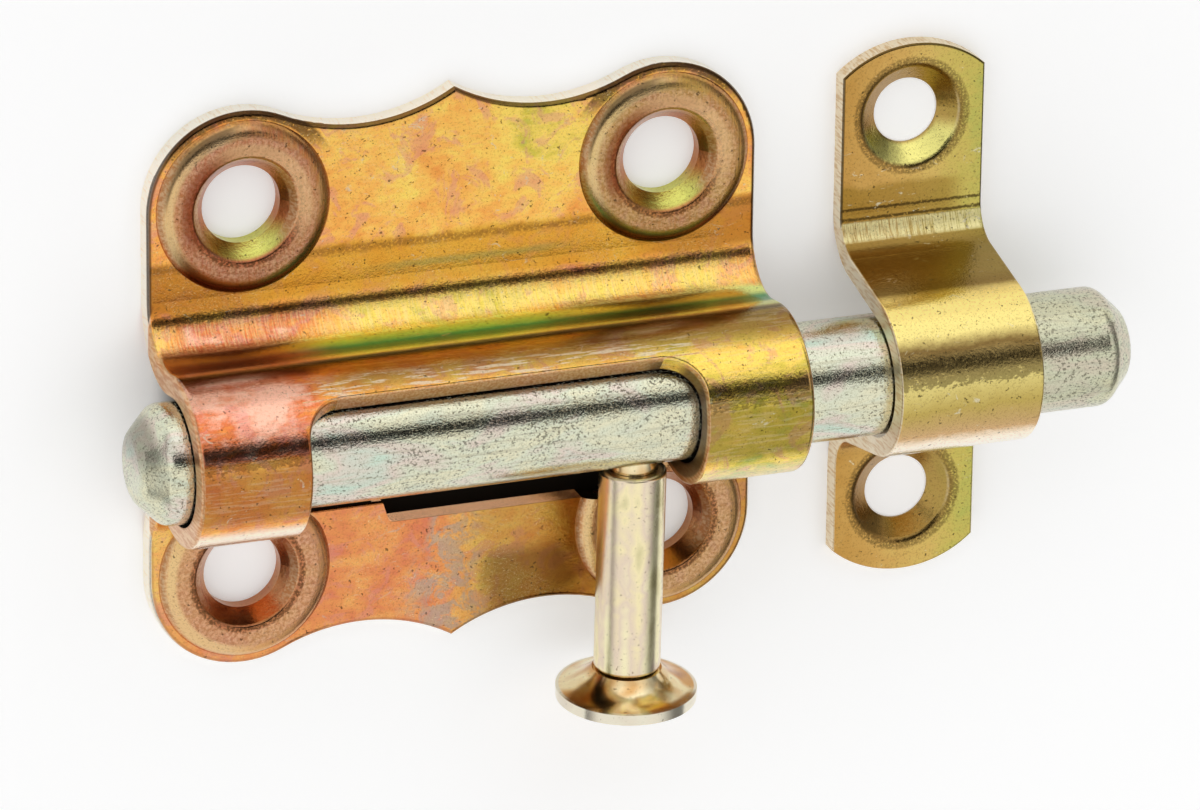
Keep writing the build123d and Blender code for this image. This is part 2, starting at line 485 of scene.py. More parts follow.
class PlateCoat(SheetCoat):
    """The plate's film, and the marks that the press, the screws and wear have left in it."""

    def __init__(self, s: Surface, finish: "PressedPlate") -> None:
        """Marks out the plate's zones.

        Args:
            s: the surface.
            finish: the finish, which has the plate's sizes.
        """
        super().__init__(s, finish)
        at = self.at
        self.tail_end = s.band(at.x, None, -14.0, 7.0)
        self.nose_end = s.band(at.x, 9.0, None, 7.0)
        self.flat = s.band(at.z, None, 2.2, 0.4)
        self.lower = s.band(at.y, None, -9.0, 1.0) * s.band(at.z, None, 3.0, 1.0)
        self.drawn_zone = s.band(at.z, 2.25, 4.2, 0.4) * self.upper
        self.from_bar = s.away(at.y - BAR_Y, at.z - BAR_Z)
        # the distance from the nearest screw hole's middle
        self.seat = s.away(abs(at.x) - finish.hole_x, abs(at.y) - finish.hole_y)
        self.on_seat = s.band(self.seat, None, finish.seat_r, 0.05) * s.band(at.z, None, 3.2, 0.4)
        self.crest = s.band(self.seat, finish.sink_r, finish.crest_r, 0.5) * self.on_seat
        self.peened = s.mottle(at.mm, 0.3, 3.0, 0.7)

    def film(self) -> None:
        """Lays the film: its thickness drifts along the plate, thin on the arch's tail end."""
        s, at = self.s, self.at
        film = s.profile(at.x, ON_FLANGE)
        # from the flange up the bend and over the arch, each from where it begins
        parts = (
            (ON_PALE_STRIP, 2.3, 0.3),
            (ON_BEND, 3.9, 1.2),
            (ON_WALL, 7.0, 1.2),
            (ON_ARCH, 9.5, 1.2),
        )
        for part, low, soft in parts:
            film = film + (s.profile(at.x, part) - film) * s.band(at.z, low, None, soft)
        film = film + (s.profile(at.x, ON_BELLY) - film) * s.band(self.turn, None, 18.0, 4.0)
        film = film + (s.profile(at.x, ON_LOWER_FLANGE) - film) * self.lower
        # near the cusp, a little thicker towards the upper edge and thinner below
        rise = s.band(at.y, 17.0, None, 4.0) - s.band(at.y, None, 14.0, 3.0)
        film = film + rise * s.band(at.x, 4.0, 13.0, 5.0) * self.flat * self.upper * 0.08
        film = film + (self.clouds - 0.5) * 0.62 + (self.small - 0.5) * 0.42
        self.colour = s.add("ValToRGB", stops=FILM, Fac=film)

    def flats(self) -> None:
        """Marks the flanges: bloom, the strip that the die pressed, and painted shade and a painted
        reflection along its edges.
        """
        s, at = self.s, self.at
        # rose bloom in patches, some 4 mm across
        bloom = s.band(s.mottle(at.mm, 3.0, 4.0, 0.7, 0.8), 0.57, None, 0.1)
        self.lay("#DE9086", bloom, 0.45)
        # deeper gold in the strip that the die pressed flat above the bend, with an olive streak
        # in its middle
        strip = s.band(at.y + (self.clouds - 0.5) * 1.5, 7.4, 11.8, 0.8) * self.flat * self.upper
        self.lay("#D89A26", strip, 0.7)
        self.lay("#A0562C", strip * s.band(abs(at.x), 17.0, None, 6.0), 0.5)
        streak = s.band(at.y + (self.small - 0.5) * 0.6, 9.0, 9.6, 0.5)
        self.lay("#A39A50", streak * s.band(at.x, -6.0, 9.0, 6.0), 0.6)
        # painted shade: a brown, dotted line along a slight crease at the strip's upper side; and a
        # dotted painted dark reflection along the foot of the bend
        crease_shade = s.band(at.y + (self.small - 0.5) * 0.8, 10.9, 11.6, 0.5) * self.flat
        self.lay("#7E5324", self.dotted(crease_shade, 0.4), 0.6)
        bend_reflection = s.band(at.z + (self.die_and_reflection_specks - 0.5) * 0.35, 2.0, 2.3, 0.1) * self.upper
        self.lay("#4A3216", self.dotted(bend_reflection, 0.46, 0.12), 0.35)

    def bend(self) -> None:
        """Marks the bend: striations where the tool slid over it, and thick film above them."""
        s, at = self.s, self.at
        self.lay("#F5DFA2", self.drawn_zone * s.band(self.lines, 0.5, None, 0.3), 0.35)
        # red brown at the tail's end, green in the middle, olive towards the nose
        in_bend = s.band(at.z + (self.small - 0.5) * 0.6, 4.1, 8.7, 0.8) * self.upper
        up_bend = s.add("MapRange", i0=at.z + (self.small - 0.5) * 0.5, i1=3.9, i2=8.6)
        green = s.add("ValToRGB", stops=UP_BEND, Fac=up_bend)
        olive = s.over("#E2E88C", "#5C9D66", s.band(at.z, 5.3, 7.3, 1.0))
        brown = s.over(green, "#C0986A", self.tail_end)
        self.lay(s.over(brown, olive, self.nose_end), in_bend)

    def arch(self) -> None:
        """Marks the arch, from the painted shadow line along its foot down to its lower edge."""
        s, at = self.s, self.at
        # painted shade: a dark run up the arch's upper side, darkest in a painted shadow line along
        # its foot
        self.lay("#76532A", s.profile(self.turn, ARCH_SHADE) * (1.0 - self.tail_end * 0.6))
        ends = self.nose_end + self.tail_end
        self.lay("#5E4020", s.band(self.turn, 78.0, 92.0, 6.0) * ends, 0.65)
        middle = s.band(at.x, -16.0, 14.0, 8.0)
        self.lay("#0E0701", s.band(self.turn, 86.8, 94.5, 5.0) * (middle * 0.38 + 0.6))
        # a deeper film across the arch's front, and a painted dark reflection line in it
        front = s.band(self.turn, -29.0, 14.0, 14.0) * s.band(at.z, 8.0, None, 2.0)
        self.lay(s.over("#895629", "#66561F", self.nose_end), front, 0.62)
        dark = s.over("#4A2412", "#33260A", self.nose_end)
        self.lay(dark, self.dark_reflection_line(12.0, 27.0, 0.34), 0.5)
        # scratches along the arch, worn where the window's upper edge was dressed
        scratch = s.band(s.mottle(at.mm, 0.28, 3.0, 0.6, 0.0, (0.1, 1.0, 1.0)), 0.56, None, 0.08)
        worn = s.band(self.turn, 52.0, 66.0, 8.0) * s.band(abs(at.x), None, 16.5, 2.0)
        self.lay("#E2D2B4", scratch * (worn * 0.55 + 0.14) * s.band(at.z, 8.5, None, 1.0))
        # painted reflection of the white floor: bright along the arch's lower edge
        rubbed = s.band(self.turn, None, -38.0, 12.0) * s.band(at.z, 6.0, None, 2.0)
        self.lay("#FFF6E0", rubbed * (1.0 - self.nose_end * 0.7), 0.85)

    def wear(self) -> None:
        """Scuffs and stains the film, and paints a reflection on the lower flange and shade against
        the bar.
        """
        s, at = self.s, self.at
        # rubbed scuffs, where the film is gone down to grey zinc
        scuffs = s.band(s.mottle(at.mm, 1.3, 4.0, 0.75, 1.5, (0.6, 1.0, 1.0)), 0.66, None, 0.06)
        self.lay("#CFC9B4", scuffs, 0.5)
        # the lower flange: rose towards the tail, blotched grey in the middle, brown towards the
        # nose, with a painted dark reflection of the knob near its edge
        self.lay("#C9826A", self.lower * s.band(at.x, None, 1.0, 5.0), 0.35)
        worn = s.band(at.x + (self.clouds - 0.5) * 14.0, -3.0, 3.0, 3.0) * self.lower
        blotch = s.band(s.mottle(at.mm, 1.6, 4.0, 0.7, 1.0), 0.5, None, 0.12)
        self.lay("#A3A094", worn * blotch, 0.6)
        self.lay("#966C36", self.lower * s.band(at.x, 1.0, None, 6.0), 0.6)
        knob_reflection = s.band(at.x + (self.clouds - 0.5) * 6.0, 3.5, 10.5, 3.0)
        knob_reflection = knob_reflection * s.band(at.y, -24.0, -17.0, 2.0)
        self.lay("#4E2C12", knob_reflection * self.lower, 0.6)
        # painted shade: the face against the bar, dark brown
        self.lay("#2C1B0D", s.band(self.from_bar, None, self.finish.guide_r, 0.06))

    def seats(self) -> None:
        """Marks the screw seats: a dull peened crest, a red brown sink, and painted highlights and
        shade round them.
        """
        s, at, seat, on_seat, upper = self.s, self.at, self.seat, self.on_seat, self.upper
        # how far a point lies from the hole's middle towards the bar, and towards the tail
        inward = self.finish.hole_y - abs(at.y)
        side = s.add("Math", {"operation": "SIGN"}, i0=at.x)
        toward_tail = side * (self.finish.hole_x - abs(at.x))
        self.lay(s.over("#C9A070", "#A8744A", upper), on_seat, 0.55)
        hammered = s.over("#9A6250", "#EABCA0", s.band(self.peened, 0.5, None, 0.2))
        self.lay(hammered, self.crest, 0.38)
        # the sink: red brown, a painted highlight in yellow green on the side near the bar, and a
        # dotted rim
        self.lay("#A04C38", s.band(seat, None, self.finish.sink_r, 0.4) * on_seat, 0.5)
        sink_highlight = s.band(inward, 2.2, None, 2.0) * s.band(seat, None, 4.3, 0.3) * upper
        self.lay("#D6DC72", sink_highlight, 0.85)
        rim = s.band(seat + (self.peened - 0.5) * 0.6, 4.5, 4.95, 0.25) * on_seat
        self.lay("#4A2F1A", self.dotted(rim, 0.45), 0.75)
        # painted shade at the crest's foot, darkest on the side near the bar
        foot = s.band(seat, 6.3, 7.3, 0.6) * on_seat * upper
        self.lay("#3E220E", foot * (s.band(inward, 2.0, None, 4.0) * 0.65 + 0.1))
        # round the sink, away from the bar: painted shade towards the tail, a painted highlight
        # towards the nose
        crest_shade = s.band(toward_tail - inward, 1.5, None, 4.0)
        crest_shade = crest_shade * s.band(seat, 4.0, 5.5, 0.6) * on_seat
        self.lay("#8A3E22", crest_shade * upper, 0.65)
        lit = s.band(toward_tail + inward, None, -2.5, 5.0)
        lit = lit * s.band(seat, 4.1, 5.6, 0.5) * on_seat
        self.lay("#F6CC96", lit * upper, 0.5)
        # the crest's foot towards the tail: a painted highlight, with a dark arc in it away from
        # the bar
        thin = s.band(toward_tail - inward * 0.5, 3.5, None, 4.0)
        thin = thin * s.band(seat, 6.1, 7.1, 0.4) * on_seat
        self.lay("#E8CC96", thin, 0.6)
        arc = s.band(seat, 6.65, 7.1, 0.2) * s.band(toward_tail - inward, 7.6, None, 2.0) * on_seat
        self.lay("#4A3520", arc * upper, 0.75)
        # painted shade between the seats and the bend, and a dark dotted band between them and the
        # upper edge
        bar_side_shade = s.band(seat + (self.small - 0.5) * 0.8, 6.6, 7.3, 0.5)
        self.lay("#6A3014", bar_side_shade * s.band(inward, 4.5, None, 2.0) * upper, 0.7)
        dirt = s.band(seat + (self.small - 0.5) * 0.5, 7.4, 8.5, 0.25)
        dirt = dirt * s.band(inward, None, -4.8, 2.5)
        self.lay("#3A2415", self.dotted(dirt, 0.34) * upper, 0.8)

    def specks(self) -> None:
        """Lays the sheet's grit, its pits, black with dirt, and pale hairlines on the flats."""
        s, at = self.s, self.at
        self.lay("#6E4A1E", s.band(self.grit, 0.58, None, 0.12), 0.22)
        self.lay("#33240F", s.band(self.pits, 0.69, None, 0.05), 0.7)
        wander = s.mottle(at.mm, 0.9, 1.0, 0.5, 3.0, (0.8, 1.6, 1.6))
        hairline = s.band(wander, 0.495, 0.505, 0.008) * s.band(self.clouds, 0.5, None, 0.1)
        self.lay("#F6E6BE", hairline * s.band(at.z, None, 2.0, 0.2), 0.45)

    def cuts(self) -> tuple[Field, Field]:
        """Lays the cut faces: nearly white round the outline, brown on the arch and its window.

        Returns:
            Marks of the brown faces, and of the notch's, which is torn.
        """
        s, at, finish = self.s, self.at, self.finish
        off_seat = 1.0 - self.on_seat
        cut = s.cut_faces(at, finish.sheet)
        # the window's upper edge faces down, so it's found by its turn and not by its direction
        over_bar = s.band(self.turn, *finish.window_turns, 0.1)
        over_bar = over_bar * s.band(abs(at.x), None, finish.window_x, 0.1)
        # above the flange's front the cuts are the window's and the arch's ends, and below it
        # they're the outline
        front = finish.sheet + 0.1
        above = cut * s.band(at.z, front, None, 0.3)
        window = s.add("Math", {"operation": "MAXIMUM"}, i0=above, i1=over_bar)
        # painted shade in the gap round the bar, at the window's nose end
        deep = s.band(self.from_bar, None, 6.5, 0.3) * s.band(at.x, 13.0, None, 2.0)
        window_face = s.over("#C98A58", "#E3BC92", s.band(self.scored, 0.5, None, 0.2))
        self.lay(s.over(window_face, "#2A180C", deep, 0.85), window, 0.85)
        sheared = cut * s.band(at.z, None, front, 0.3) * off_seat
        pale_edge = s.over("#F2E6CC", "#FDF8EA", s.band(self.scored, 0.4, None, 0.2))
        notched = s.band(at.x, *finish.notch_x, 0.2) * s.band(at.y, *finish.notch_y, 0.2)
        self.lay(s.over(pale_edge, "#FFC395", notched), sheared, 0.9)
        # the face's edge, rolled over by the shear: a thin dark line inside the pale one
        rolled = s.rolled_edge(at, 1.2, 1.85) * off_seat
        self.lay("#3F2A1C", rolled * (self.upper * 0.55 + 0.25))
        return window, notched * sheared


@dataclass(frozen=True)
class PressedPlate(PressedSheet):
    """Yellow passivated zinc on pressed steel sheet.

    A thin chromate film over bright zinc: it mirrors the room in the colour that its
    thickness gives. The film thickens in the bend, where it turns green, and is drawn
    thin and pale where the press tool slid over it. Pits and rubbed scratches break it.
    """

    name: str = "yellow_passivated_zinc_plate"
    sheet: float = 1.8
    hole_x: float = 18.0
    hole_y: float = 15.95
    cloud: float = 6.0
    patch: float = 1.1
    patch_drawn: tuple[float, float, float] = (0.7, 1.2, 1.2)
    grit: float = 0.22
    # radii of a screw seat: its outer edge, its crest's outer edge and its sink's
    seat_r: float = 7.35
    crest_r: float = 6.2
    sink_r: float = 4.9
    # a radius just beyond the arch's inner face
    guide_r: float = 5.42
    # the window's half length and its upper edge's turns, and the notch's ends and edges
    window_x: float = 16.9
    window_turns: tuple[float, float] = (52.1, 53.0)
    notch_x: tuple[float, float] = (-7.0, 13.8)
    notch_y: tuple[float, float] = (-13.6, -9.0)
    torn_lift: float = 4.2

    def make(self) -> bpy.types.Material:
        """Builds the material.

        Returns:
            The finished material.
        """
        material, s = start_material(self.name)
        coat = PlateCoat(s, self)
        coat.film()
        coat.flats()
        coat.bend()
        coat.arch()
        coat.wear()
        coat.seats()
        coat.specks()
        window, torn = coat.cuts()
        rough = s.band(coat.small, 0.3, 0.9, 0.5) * 0.08 + 0.12 + coat.crest * 0.1
        rough = rough + window * 0.15 + coat.drawn_zone * 0.06 + torn * 0.05
        height = coat.relief(coat.drawn_zone) + coat.peened * coat.crest * 2.2
        # the notch's face is torn and rounded over, so it catches the light from above
        s.metal(coat.colour, rough, height, self.relief, torn * self.torn_lift)
        return material


class KeepCoat(SheetCoat):
    """The keep's film and marks."""

    def __init__(self, s: Surface, finish: "PressedKeep") -> None:
        """Marks out the keep's zones.

        Args:
            s: the surface.
            finish: the finish, which has the keep's sizes.
        """
        super().__init__(s, finish)
        at = self.at
        self.flat = s.band(at.z, None, 2.1, 0.2)
        drawn_zone = s.band(at.z, 1.6, 2.5, 0.3) * s.band(at.y, 4.0, 8.1, 0.2)
        self.drawn_zone = drawn_zone * self.upper
        # the distance from the nearest screw hole's middle
        self.outward = abs(at.y - finish.hole_centre_y) - finish.hole_y
        self.sink = s.away(at.x - finish.hole_x, self.outward)

    def film(self) -> None:
        """Lays the film: olive gold on the flats, gold over the arch with painted light in its
        bands, pale at its lower edge.
        """
        s, at, clouds, small = self.s, self.at, self.clouds, self.small
        across = at.x + (clouds - 0.5) * 6.0 + (small - 0.5) * 4.0
        tail_side, nose_side = self.finish.sides_x
        drift = s.add("MapRange", i0=across, i1=tail_side, i2=nose_side)
        self.colour = s.add("ValToRGB", stops=ACROSS_KEEP, Fac=drift)
        low, high = KEEP_TURNS
        swing = self.turn + (clouds - 0.5) * 10.0 + (small - 0.5) * 6.0
        round_arch = s.add("MapRange", i0=swing, i1=low, i2=high)
        stops = [((turn - low) / (high - low), film) for turn, film in ROUND_KEEP]
        arch = s.add("ValToRGB", stops=stops, Fac=round_arch)
        self.lay(arch, s.band(at.z, 8.5, None, 2.0))
        # a painted dark reflection line along the front
        self.lay("#4A3918", self.dark_reflection_line(9.0, 26.0, 0.36), 0.6)
        # brown in the bend and up its wall
        brown = s.band(at.z, 2.4, 9.8, 0.6)
        self.lay("#8A6E34", brown * s.band(self.turn, 84.0, None, 10.0), 0.85)
        # the strip that the die pressed above the bend, and the wall below the bar
        pressed = s.band(at.y + (clouds - 0.5) * 1.2, 8.0, 11.2, 0.8) * self.flat * self.upper
        self.lay("#937226", pressed * s.band(at.x, None, 44.0, 2.5), 0.65)
        below = s.band(at.y, None, BAR_Y, 1.0) * s.band(at.z, 2.4, 8.5, 1.0)
        self.lay("#C9A068", below, 0.6)

    def die_lines(self) -> None:
        """Lays two dotted die lines above the bend, the striations below them, and scuffs."""
        s, at, finish = self.s, self.at, self.finish
        ragged = at.y + (self.die_and_reflection_specks - 0.5) * 0.3
        bites = s.band(ragged, *finish.upper_line_y, 0.15)
        bites = bites + s.band(ragged, *finish.lower_line_y, 0.15)
        self.lay("#3D2C12", self.dotted(bites * self.flat, 0.36, 0.15), 0.85)
        self.lay("#FFF3B4", self.drawn_zone * s.band(self.lines, 0.42, None, 0.3), 0.9)
        scuffs = s.band(s.mottle(at.mm, 1.2, 4.0, 0.75, 1.5, (0.6, 1.0, 1.0)), 0.66, None, 0.06)
        self.lay("#DDD6BC", scuffs, 0.6)

    def sinks(self) -> None:
        """Marks the sinks: brown, a painted highlight in yellow green near the bar, and a dark
        dotted rim.
        """
        s, sink = self.s, self.sink
        self.lay("#8A6434", s.band(sink, None, 4.6, 0.4), 0.55)
        sink_highlight = s.band(self.outward, None, -1.4, 1.8) * s.band(sink, 2.9, 4.4, 0.4)
        self.lay("#F2EC8E", sink_highlight * self.upper, 0.85)
        self.lay("#5A4320", self.dotted(s.band(sink, 4.3, 5.1, 0.3), 0.42), 0.6)

    def specks(self) -> None:
        """Lays the sheet's grit, and its pits, black with dirt."""
        s = self.s
        self.lay("#665020", s.band(self.grit, 0.58, None, 0.12), 0.25)
        self.lay("#33270F", s.band(self.pits, 0.69, None, 0.05), 0.7)

    def cuts(self) -> Field:
        """Lays the cut faces, pale, with the dark line of their rolled-over edge inside.

        Returns:
            A mark of the cut faces.
        """
        s, at = self.s, self.at
        cut = s.cut_faces(at, self.finish.sheet) * s.band(self.sink, 4.2, None, 0.2)
        face = s.over("#D9BC90", "#F4E8CE", s.band(self.scored, 0.45, None, 0.2))
        self.lay(face, cut, 0.85)
        rolled = s.rolled_edge(at, 1.1, 1.7) * s.band(self.sink, 5.4, None, 0.2)
        self.lay("#3F2E16", rolled * self.upper, 0.8)
        return cut


@dataclass(frozen=True)
class PressedKeep(PressedSheet):
    """The same passivated sheet on the keep: an even olive gold, with two die lines."""

    name: str = "yellow_passivated_zinc_keep"
    sheet: float = 1.65
    hole_x: float = 39.85
    hole_y: float = 16.8
    cloud: float = 4.0
    patch: float = 0.9
    patch_drawn: tuple[float, float, float] = (0.8, 1.2, 1.2)
    grit: float = 0.2
    # the middle between its two holes, its sides along the bar and its two die lines
    hole_centre_y: float = 0.15
    sides_x: tuple[float, float] = (33.0, 47.0)
    upper_line_y: tuple[float, float] = (9.1, 9.35)
    lower_line_y: tuple[float, float] = (8.25, 8.5)

    def make(self) -> bpy.types.Material:
        """Builds the material.

        Returns:
            The finished material.
        """
        material, s = start_material(self.name)
        coat = KeepCoat(s, self)
        coat.film()
        coat.die_lines()
        coat.sinks()
        coat.specks()
        cut = coat.cuts()
        rough = s.band(coat.small, 0.3, 0.9, 0.5) * 0.08 + 0.13 + cut * 0.15
        rough = rough + coat.drawn_zone * 0.25
        s.metal(coat.colour, rough, coat.relief(coat.drawn_zone), self.relief)
        return material


@dataclass(frozen=True)
class PittedBar:
    """Clear passivated zinc on a drawn bar.

    Pale silver with a green cast and faint rose clouds. The bar was pitted before it was
    plated, so small dark pits lie in rows along it between long rubbed patches.
    """

    name: str = "pale_zinc_on_pitted_bar"
    relief: float = 0.04
    tints: tuple[tuple[float, str], ...] = (
        (0.3, "#CDD2BC"),
        (0.42, "#E2DEBF"),
        (0.5, "#D9DCC4"),
        (0.58, "#DFD0C2"),
        (0.7, "#CADCCA"),
    )

    def make(self) -> bpy.types.Material:
        """Builds the material.

        Returns:
            The finished material.
        """
        material, s = start_material(self.name)
        at = s.places()
        clouds = s.mottle(at.mm, 3.5, 3.0, 0.55, 0.4, (0.4, 1.0, 1.0))
        colour = s.add("ValToRGB", stops=self.tints, Fac=clouds)
        # the nose is yellower and a little more pitted
        nose = s.band(at.x, 44.0, None, 1.5)
        colour = s.over(colour, "#B5B38E", nose, 0.4)
        # pits 0.1 to 0.3 mm wide, a little drawn out along the bar, thicker in some patches
        crowd = s.mottle(at.mm, 2.5, 2.0, 0.5, 0.0, (0.6, 1.0, 1.0))
        pits = s.mottle(at.mm, 0.21, 2.0, 0.6, 0.0, (0.85, 1.0, 1.0))
        pit_mark = s.band(pits + (crowd - 0.5) * 0.25 + nose * 0.03, 0.63, None, 0.05)
        colour = s.over(colour, "#55503E", pit_mark, 0.65)
        # finer grit between them
        grit = s.band(s.mottle(at.mm, 0.16, 2.0, 0.7), 0.57, None, 0.1)
        colour = s.over(colour, "#8E8A74", grit, 0.3)
        # painted shade on the tail's end, at its upper side
        tail_shade = s.band(at.x, None, -28.6, 0.8) * s.band(at.y, -1.5, None, 3.0)
        colour = s.over(colour, "#5E5C4E", tail_shade, 0.6)
        # rolling lines along the bar
        lines = s.mottle(at.mm, 0.3, 2.0, 0.6, 0.0, (0.04, 1.0, 1.0))
        colour = s.over(colour, "#B2AE98", s.band(lines, 0.6, None, 0.1), 0.4)
        rough = s.band(clouds, 0.35, 0.9, 0.4) * 0.06 + 0.1
        grain = s.mottle(at.mm, 0.18, 2.0, 0.6)
        s.metal(colour, rough, grain * 0.5 + pit_mark * -0.6 + lines * 0.15, self.relief)
        return material


@dataclass(frozen=True)
class KnobGold:
    """Pale gold film on a knob piece, with streaks along it or a polished, clouded sheen."""

    name: str
    tints: tuple[str, ...]
    grain: float
    drawn: tuple[float, float, float]
    cloud: float
    rough: float
    lean: float = 0.0437
    rim_r: float = 5.6
    relief: float = 0.012
    first_tint: float = 0.3
    last_tint: float = 0.7

    def make(self) -> bpy.types.Material:
        """Builds the material.

        Returns:
            The finished material.
        """
        material, s = start_material(self.name)
        at = s.places()
        # drawing lines or fine clouds over broad ones; the film's tint follows the two together
        lines = s.mottle(at.mm, self.grain, 1.0, 0.4, 0.0, self.drawn)
        clouds = s.mottle(at.mm, self.cloud, 2.0, 0.5, 0.6)
        step = (self.last_tint - self.first_tint) / (len(self.tints) - 1)
        stops = [(self.first_tint + step * n, tint) for n, tint in enumerate(self.tints)]
        colour = s.add("ValToRGB", stops=stops, Fac=lines * 0.6 + clouds * 0.4)
        # the head's rim is turned bright
        from_pin_z = at.z - BAR_Z - (at.y - BAR_Y) * self.lean
        from_pin = s.away(at.x - PIN_X, from_pin_z)
        colour = s.over(colour, "#E6E1D0", s.band(from_pin, self.rim_r, None, 0.15), 0.85)
        # specks of 0.25 mm, brown with dirt
        specks = s.band(s.mottle(at.mm, 0.25, 2.0, 0.6), 0.69, None, 0.05)
        colour = s.over(colour, "#5B4020", specks, 0.6)
        rough = s.band(clouds, 0.3, 0.9, 0.5) * 0.08 + self.rough
        s.metal(colour, rough, lines * 0.6 + specks * -0.4, self.relief)
        return material


# the tube's streaks and the head's clouds, each from thin film to thick
TUBE_TINTS = ("#C9BE8C", "#F6EDC2", "#E6D3BC", "#F4E6B8", "#D9CFA0")
HEAD_TINTS = ("#A8683A", "#D29E5C", "#F2E2B6", "#DDB272")
ALONG_PIN = (1.0, 0.04, 1.0)
EVEN = (1.0, 1.0, 1.0)


class Finish(Enum):
    """The finishes, by the CAD piece they go on."""

    CASE = PressedPlate()
    KEEP = PressedKeep()
    BAR = PittedBar()
    SLEEVE = KnobGold("pale_gold_drawn_tube", TUBE_TINTS, 1.3, ALONG_PIN, 3.0, 0.17)
    RIVET = KnobGold("polished_gold_rivet_head", HEAD_TINTS, 2.4, EVEN, 4.5, 0.09)


@dataclass
class Hardware:
    """The bolt's own pieces, all carried over from the CAD."""

    finishes: dict[str, Finish] = field(
        default_factory=lambda: {
            "case": Finish.CASE,
            "keep": Finish.KEEP,
            "bolt_bar": Finish.BAR,
            "knob_sleeve": Finish.SLEEVE,
            "knob_rivet": Finish.RIVET,
        }
    )

    def dress(self) -> None:
        """Gives each piece its finish."""
        for node, finish in self.finishes.items():
            material = finish.value.make()
            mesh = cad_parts[node].data
            mesh.materials.clear()
            mesh.materials.append(material)
            log.info("%s dressed in %s", node, material.name)


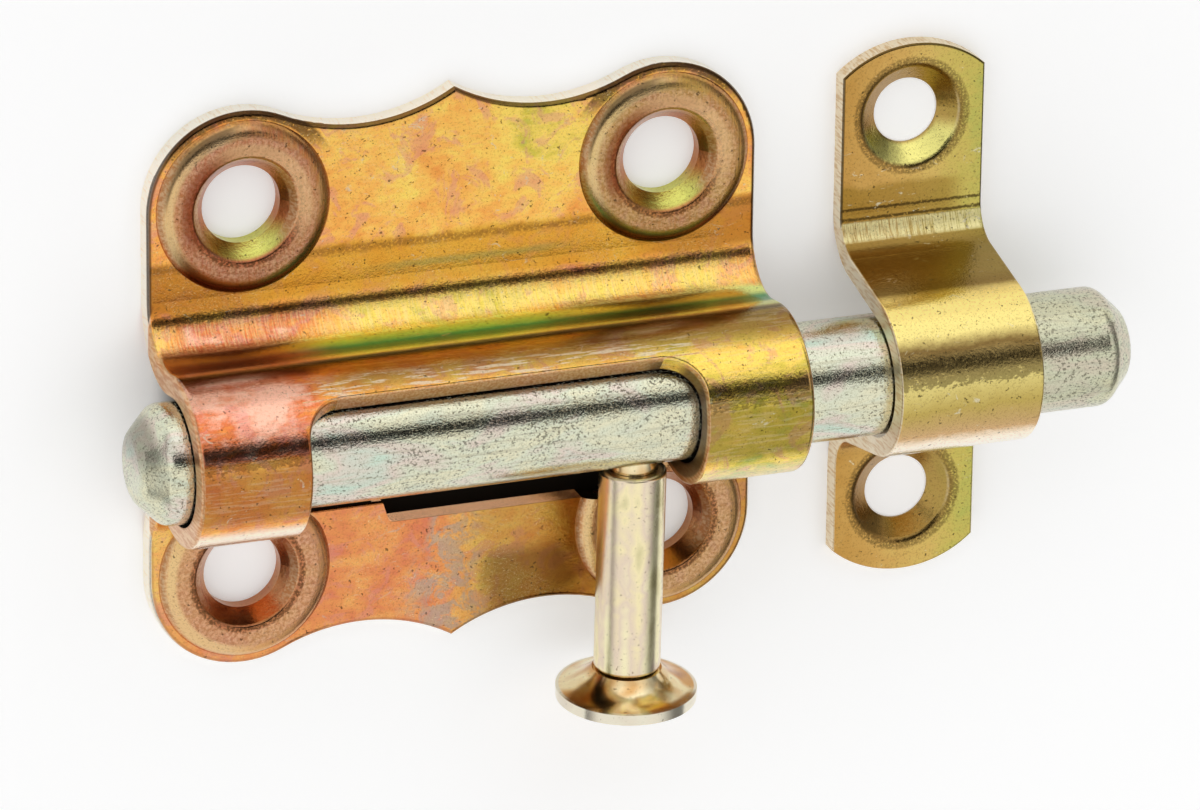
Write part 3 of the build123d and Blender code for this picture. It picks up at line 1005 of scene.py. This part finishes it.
@dataclass
class Studio:
    """Floor, light and camera, in metres and degrees where the name doesn't say millimetres."""

    floor_half: float = 3.0
    floor_white: float = 0.92
    floor_glow: float = 0.24
    # where the floor is painted dark as shade, along x and along y
    under_notch_mm: tuple[tuple[float, float], ...] = ((-13.8, 14.5), (-13.8, 8.0))
    under_arch_mm: tuple[tuple[float, float], ...] = ((-24.0, 24.0), (-11.5, 6.0))
    # how bright the room is, and how much of that is gone low down at its ends
    room: float = 1.0
    room_sides: float = 0.8
    card_black: float = 0.01
    # the camera's place and the direction from the bolt to it, as fitted to the photograph
    eye: Vector = field(default_factory=lambda: Vector((-227.6, 275.0, 647.8)) * MM)
    back: Vector = field(default_factory=lambda: Vector((-0.32302, 0.37659, 0.86824)))
    roll: float = 0.715
    lens_mm: float = 271.65
    sensor_mm: float = 36.0
    nearest: float = 0.01
    farthest: float = 50.0

    def place(self, name: str, data: bpy.types.ID) -> bpy.types.Object:
        """Puts a new object into the scene.

        Args:
            name: its name.
            data: its mesh, light or camera.

        Returns:
            The object.
        """
        thing = bpy.data.objects.new(name, data)
        bpy.context.scene.collection.objects.link(thing)
        return thing

    def place_mesh(
        self, name: str, bm: bmesh.types.BMesh, material: bpy.types.Material
    ) -> bpy.types.Object:
        """Turns a finished bmesh into an object.

        Args:
            name: the object's name.
            bm: the bmesh, which is freed.
            material: its material.

        Returns:
            The object.
        """
        mesh = bpy.data.meshes.new(name)
        bm.to_mesh(mesh)
        bm.free()
        mesh.materials.append(material)
        return self.place(name, mesh)

    def floor_material(self) -> bpy.types.Material:
        """Makes the floor's white, which glows only where the camera or a mirror sees it.

        Returns:
            The finished material.
        """
        material, s = start_material("pale_floor")
        most = {"operation": "MAXIMUM"}
        ray = s.add("LightPath")
        seen = s.add("Math", most, i0=ray, i1=ray.output("Is Glossy Ray"))
        seen = s.add("Math", most, i0=seen, i1=ray.output("Is Transmission Ray"))
        # painted shade: the floor is painted dark, with no glow, in the hollow under the arch and
        # under the notch
        at = s.places()
        (x, y), (arch_x, arch_y) = self.under_notch_mm, self.under_arch_mm
        below_notch = s.band(at.x, *x, 0.6) * s.band(at.y, *y, 0.4)
        below_arch = s.band(at.x, *arch_x, 3.0) * s.band(at.y, *arch_y, 0.4)
        painted_floor_shade = s.add("Math", most, i0=below_notch, i1=below_arch)
        white = (self.floor_white,) * 3 + (1.0,)
        matt = s.add("BsdfDiffuse", Color=s.over(white, "#1A1612", painted_floor_shade))
        glow = s.add("Emission", Strength=seen * self.floor_glow * (1.0 - painted_floor_shade))
        s.add("OutputMaterial", Surface=s.add("AddShader", i0=matt, i1=glow))
        return material

    def floor(self) -> None:
        """Lays a pale floor that shows white and keeps the object's shadow."""
        bm = bmesh.new()
        bmesh.ops.create_grid(bm, x_segments=1, y_segments=1, size=self.floor_half)
        floor = self.place_mesh("floor", bm, self.floor_material())

    def world(self) -> None:
        """Sets an even white room, darker low down at its two ends."""
        world = bpy.data.worlds.new("room")
        bpy.context.scene.world = world
        world.use_nodes = True
        s = Surface(world.node_tree)
        # the direction that a ray goes: x towards the nose's end, z up
        toward = s.add("SeparateXYZ", i0=s.add("TexCoord"))
        up = toward.output("Z")
        beyond_nose = s.band(toward, 0.5, None, 0.4) * s.band(up, None, 0.55, 0.5)
        beyond_tail = s.band(toward, None, -0.6, 0.4) * s.band(up, None, 0.2, 0.4)
        level = self.room - (beyond_nose + beyond_tail) * self.room_sides
        room = s.add("Background", Color="#FFFFFF", Strength=level)
        s.add("OutputWorld", Surface=room)

    def lamp(
        self,
        name: str,
        angle: float,
        distance: float,
        size: tuple[float, float],
        level: float,
        across: float,
    ) -> None:
        """Hangs a large soft panel of light that faces the bolt.

        Args:
            name: its name.
            angle: its middle's angle about the bar, from the front towards +Y, in degrees.
            distance: how far off it hangs.
            size: its length along the bar and its height.
            level: how bright it looks, where 1 is white.
            across: how far it is moved towards the nose.
        """
        a = math.radians(angle)
        aim = Vector((PIN_X, BAR_Y, BAR_Z)) * MM
        place = aim + Vector((across, distance * math.sin(a), distance * math.cos(a)))
        light = bpy.data.lights.new(name, "AREA")
        light.shape = "RECTANGLE"
        light.size, light.size_y = size
        light.energy = level * math.pi * size[0] * size[1]
        lamp = self.place(name, light)
        lamp.location = place
        lamp.rotation_mode = "QUATERNION"
        lamp.rotation_quaternion = (aim - place).to_track_quat("-Z", "Y")
        lamp.visible_camera = False

    def card(
        self,
        name: str,
        turns: tuple[float, float],
        distance: float,
        ends: tuple[float, float],
    ) -> None:
        """Hangs a dark card beside the camera, which draws a dark line on bright metal.

        Args:
            name: its name.
            turns: its two long edges' angles about the bar, from the front towards +Y, in degrees.
            distance: how far off it hangs.
            ends: its ends' places along x.
        """
        (low, high), (tail, nose) = turns, ends
        bm = bmesh.new()
        corners = []
        for x, angle in ((tail, low), (nose, low), (nose, high), (tail, high)):
            a = math.radians(angle)
            upward, forward = distance * math.sin(a), distance * math.cos(a)
            corners.append(bm.verts.new((x, BAR_Y * MM + upward, BAR_Z * MM + forward)))
        bm.faces.new(corners)
        material, s = start_material(name)
        black = (self.card_black,) * 3 + (1.0,)
        s.add("OutputMaterial", Surface=s.add("BsdfDiffuse", Color=black))
        card = self.place_mesh(name, bm, material)
        card.visible_camera = False

    def camera(self) -> None:
        """Stands the camera at the photograph's angle."""
        back = self.back.normalized()
        right = Vector((back.z, 0.0, -back.x)).normalized()
        up = back.cross(right)
        r = math.radians(self.roll)
        rolled_right = math.cos(r) * right + math.sin(r) * up
        rolled_up = -math.sin(r) * right + math.cos(r) * up
        data = bpy.data.cameras.new("camera")
        data.lens = self.lens_mm
        data.sensor_width = self.sensor_mm
        data.clip_start, data.clip_end = self.nearest, self.farthest
        camera = self.place("camera", data)
        turned = Matrix((rolled_right, rolled_up, back)).transposed().to_4x4()
        camera.matrix_world = Matrix.Translation(self.eye) @ turned
        bpy.context.scene.camera = camera

    def build(self) -> None:
        """Sets up the whole studio."""
        self.floor()
        self.world()
        self.camera()
        self.lamp("panel_above", angle=74.0, distance=0.9, size=(1.4, 0.7), level=0.25, across=0.3)
        self.card("dark_card", turns=(13.0, 37.0), distance=0.62, ends=(-0.42, 0.36))
        bpy.context.scene.view_settings.view_transform = "Standard"


def main() -> None:
    """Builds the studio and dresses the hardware."""
    Studio().build()
    Hardware().dress()


if __name__ == "__main__":
    main()
